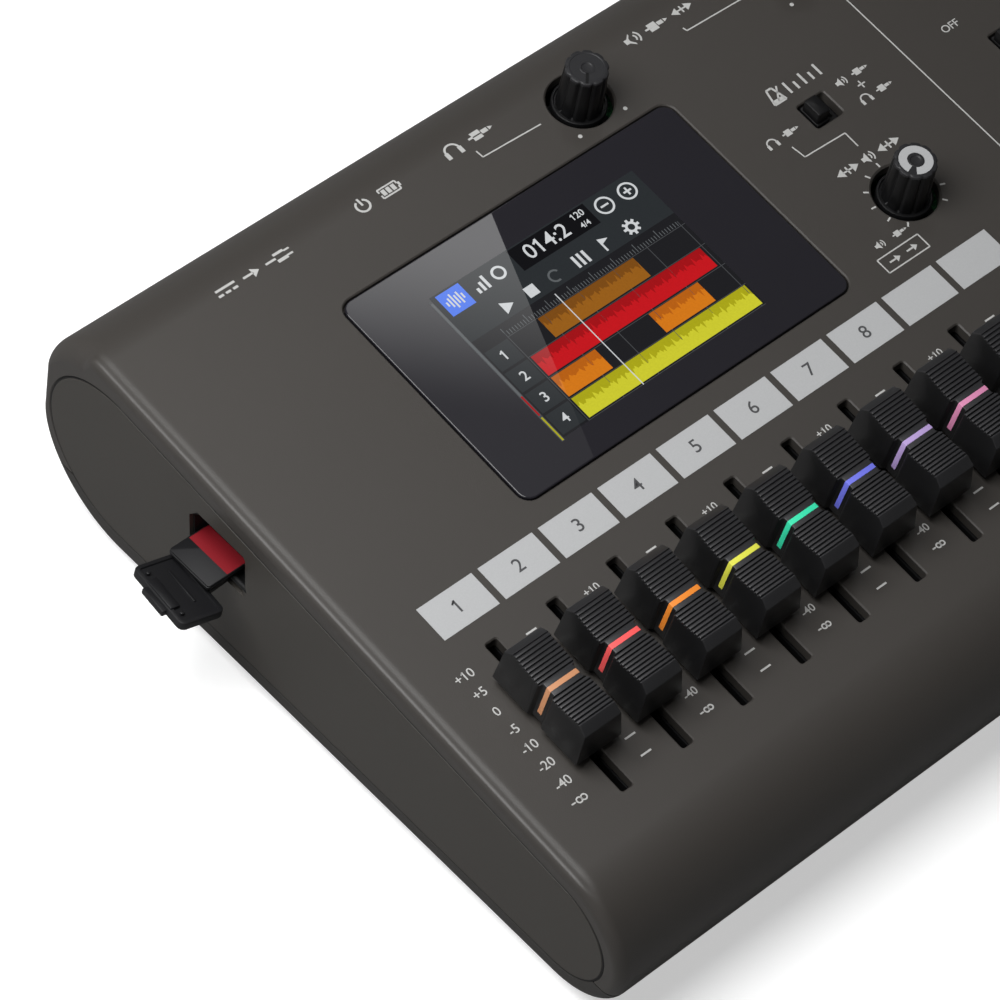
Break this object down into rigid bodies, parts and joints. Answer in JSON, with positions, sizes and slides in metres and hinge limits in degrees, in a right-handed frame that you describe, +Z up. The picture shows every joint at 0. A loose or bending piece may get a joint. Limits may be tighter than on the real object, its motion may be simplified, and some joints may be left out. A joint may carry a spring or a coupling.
{
  "type": "digital multitrack recorder",
  "caption": "Desktop digital multitrack recorder: wedge case with channel faders, colour screen, fluted knobs, transport keys, rear jacks and a memory card in its left end.",
  "frame": {"origin": "middle of the whole box, card door included, on the plane that the feet stand on", "axes": "+X along the case to the right as the user sits, +Y to the rear jacks, +Z up"},
  "size_m": [0.2794, 0.1564, 0.0594],
  "materials": {
    "case_grey": "satin fine grain",
    "base_grey": "satin",
    "end_grey": "satin",
    "screen_black": "gloss",
    "lcd_dark": "gloss",
    "board_green": "satin",
    "track_black": "matte",
    "pot_metal": "satin",
    "jack_black": "satin",
    "port_metal": "satin",
    "led_red": "gloss",
    "foot_rubber": "matte",
    "screw_steel": "satin",
    "cell_blue": "gloss",
    "contact_steel": "satin",
    "card_black": "satin",
    "cover_black": "satin",
    "switch_black": "satin",
    "button_grey": "satin",
    "cap_black": "satin",
    "knob_black": "satin",
    "line_1": "satin",
    "line_2": "satin",
    "line_3": "satin",
    "line_4": "satin",
    "line_5": "satin",
    "line_6": "satin",
    "line_7": "satin",
    "line_8": "satin",
    "line_9": "satin",
    "line_10": "satin"
  },
  "bodies": {
    "recorder": {"top_case": "case_grey", "bottom_case": "base_grey", "left_end_panel": "end_grey", "right_end_panel": "end_grey", "screen_glass": "screen_black", "lcd_module": "lcd_dark", "main_board": "board_green", "jack_board": "board_green", "fader_tracks": "track_black", "pots": "pot_metal", "switch_bodies": "pot_metal", "tact_switches": "track_black", "combo_jacks": "jack_black", "line_jacks": "jack_black", "usb_port": "port_metal", "card_socket": "port_metal", "leds": "led_red", "feet": "foot_rubber", "screws": "screw_steel", "batteries": "cell_blue", "battery_contacts": "contact_steel"},
    "fader_1_slider": {"fader_1": "cap_black", "fader_1_line": "line_1"},
    "fader_2_slider": {"fader_2": "cap_black", "fader_2_line": "line_2"},
    "fader_3_slider": {"fader_3": "cap_black", "fader_3_line": "line_3"},
    "fader_4_slider": {"fader_4": "cap_black", "fader_4_line": "line_4"},
    "fader_5_slider": {"fader_5": "cap_black", "fader_5_line": "line_5"},
    "fader_6_slider": {"fader_6": "cap_black", "fader_6_line": "line_6"},
    "fader_7_slider": {"fader_7": "cap_black", "fader_7_line": "line_7"},
    "fader_8_slider": {"fader_8": "cap_black", "fader_8_line": "line_8"},
    "fader_9_slider": {"fader_9": "cap_black", "fader_9_line": "line_9"},
    "fader_10_slider": {"fader_10": "cap_black", "fader_10_line": "line_10"},
    "phones_knob_body": {"phones_knob": "knob_black"},
    "output_knob_body": {"output_knob": "knob_black"},
    "balance_knob_body": {"balance_knob": "knob_black"},
    "gain_1_knob_body": {"gain_1_knob": "knob_black"},
    "gain_2_knob_body": {"gain_2_knob": "knob_black"},
    "click_switch_slider": {"click_switch": "switch_black"},
    "phantom_switch_slider": {"phantom_switch": "switch_black"},
    "hi_z_switch_slider": {"hi_z_switch": "switch_black"},
    "rewind_key": {"rewind_button": "button_grey"},
    "forward_key": {"forward_button": "button_grey"},
    "stop_key": {"stop_button": "button_grey"},
    "play_key": {"play_button": "button_grey"},
    "record_key": {"record_button": "button_grey"},
    "power_key": {"power_button": "button_grey"},
    "card": {"memory_card": "card_black"},
    "card_cover": {"card_door": "cover_black"},
    "battery_cover": {"battery_door": "base_grey"}
  },
  "joints": [
    {"name": "fader_1_slide", "type": "slide", "parent": "recorder", "child": "fader_1_slider", "axis": [0, 0.9921, 0.1253], "range_m": [-0.016, 0.014]},
    {"name": "fader_2_slide", "type": "slide", "parent": "recorder", "child": "fader_2_slider", "axis": [0, 0.9921, 0.1253], "range_m": [-0.016, 0.014]},
    {"name": "fader_3_slide", "type": "slide", "parent": "recorder", "child": "fader_3_slider", "axis": [0, 0.9921, 0.1253], "range_m": [-0.016, 0.014]},
    {"name": "fader_4_slide", "type": "slide", "parent": "recorder", "child": "fader_4_slider", "axis": [0, 0.9921, 0.1253], "range_m": [-0.016, 0.014]},
    {"name": "fader_5_slide", "type": "slide", "parent": "recorder", "child": "fader_5_slider", "axis": [0, 0.9921, 0.1253], "range_m": [-0.016, 0.014]},
    {"name": "fader_6_slide", "type": "slide", "parent": "recorder", "child": "fader_6_slider", "axis": [0, 0.9921, 0.1253], "range_m": [-0.016, 0.014]},
    {"name": "fader_7_slide", "type": "slide", "parent": "recorder", "child": "fader_7_slider", "axis": [0, 0.9921, 0.1253], "range_m": [-0.016, 0.014]},
    {"name": "fader_8_slide", "type": "slide", "parent": "recorder", "child": "fader_8_slider", "axis": [0, 0.9921, 0.1253], "range_m": [-0.016, 0.014]},
    {"name": "fader_9_slide", "type": "slide", "parent": "recorder", "child": "fader_9_slider", "axis": [0, 0.9921, 0.1253], "range_m": [-0.016, 0.014]},
    {"name": "fader_10_slide", "type": "slide", "parent": "recorder", "child": "fader_10_slider", "axis": [0, 0.9921, 0.1253], "range_m": [-0.016, 0.014]},
    {"name": "phones_knob_turn", "type": "hinge", "parent": "recorder", "child": "phones_knob_body", "pos_m": [-0.01555, 0.0559, 0.04924], "axis": [0, -0.1253, 0.9921], "range_deg": [-280, 0]},
    {"name": "output_knob_turn", "type": "hinge", "parent": "recorder", "child": "output_knob_body", "pos_m": [0.03815, 0.0559, 0.04924], "axis": [0, -0.1253, 0.9921], "range_deg": [-280, 0]},
    {"name": "balance_knob_turn", "type": "hinge", "parent": "recorder", "child": "balance_knob_body", "pos_m": [0.01995, 0.00501, 0.04281], "axis": [0, -0.1253, 0.9921], "range_deg": [-280, 0]},
    {"name": "gain_1_knob_turn", "type": "hinge", "parent": "recorder", "child": "gain_1_knob_body", "pos_m": [0.06515, 0.04301, 0.04761], "axis": [0, -0.1253, 0.9921], "range_deg": [-280, 0]},
    {"name": "gain_2_knob_turn", "type": "hinge", "parent": "recorder", "child": "gain_2_knob_body", "pos_m": [0.10315, 0.04301, 0.04761], "axis": [0, -0.1253, 0.9921], "range_deg": [-280, 0]},
    {"name": "click_switch_slide", "type": "slide", "parent": "recorder", "child": "click_switch_slider", "axis": [1, 0, 0], "range_m": [0, 0.0026]},
    {"name": "phantom_switch_slide", "type": "slide", "parent": "recorder", "child": "phantom_switch_slider", "axis": [1, 0, 0], "range_m": [0, 0.0026]},
    {"name": "hi_z_switch_slide", "type": "slide", "parent": "recorder", "child": "hi_z_switch_slider", "axis": [1, 0, 0], "range_m": [0, 0.0026]},
    {"name": "rewind_press", "type": "slide", "parent": "recorder", "child": "rewind_key", "axis": [0, 0.1253, -0.9921], "range_m": [0, 0.0007], "stiffness_N_per_m": 400},
    {"name": "forward_press", "type": "slide", "parent": "recorder", "child": "forward_key", "axis": [0, 0.1253, -0.9921], "range_m": [0, 0.0007], "stiffness_N_per_m": 400},
    {"name": "stop_press", "type": "slide", "parent": "recorder", "child": "stop_key", "axis": [0, 0.1253, -0.9921], "range_m": [0, 0.0007], "stiffness_N_per_m": 400},
    {"name": "play_press", "type": "slide", "parent": "recorder", "child": "play_key", "axis": [0, 0.1253, -0.9921], "range_m": [0, 0.0007], "stiffness_N_per_m": 400},
    {"name": "record_press", "type": "slide", "parent": "recorder", "child": "record_key", "axis": [0, 0.1253, -0.9921], "range_m": [0, 0.0007], "stiffness_N_per_m": 400},
    {"name": "power_press", "type": "slide", "parent": "recorder", "child": "power_key", "axis": [0, -1, 0], "range_m": [0, 0.0007], "stiffness_N_per_m": 400},
    {"name": "card_slide", "type": "slide", "parent": "recorder", "child": "card", "axis": [1, 0, 0], "range_m": [0, 0.008]},
    {"name": "card_door_swing", "type": "hinge", "parent": "recorder", "child": "card_cover", "pos_m": [-0.12375, 0.0277, 0.0259], "axis": [0, -1, 0], "range_deg": [0, 20]},
    {"name": "battery_door_lift", "type": "slide", "parent": "recorder", "child": "battery_cover", "axis": [0, 0, -1], "range_m": [0, 0.03]}
  ]
}
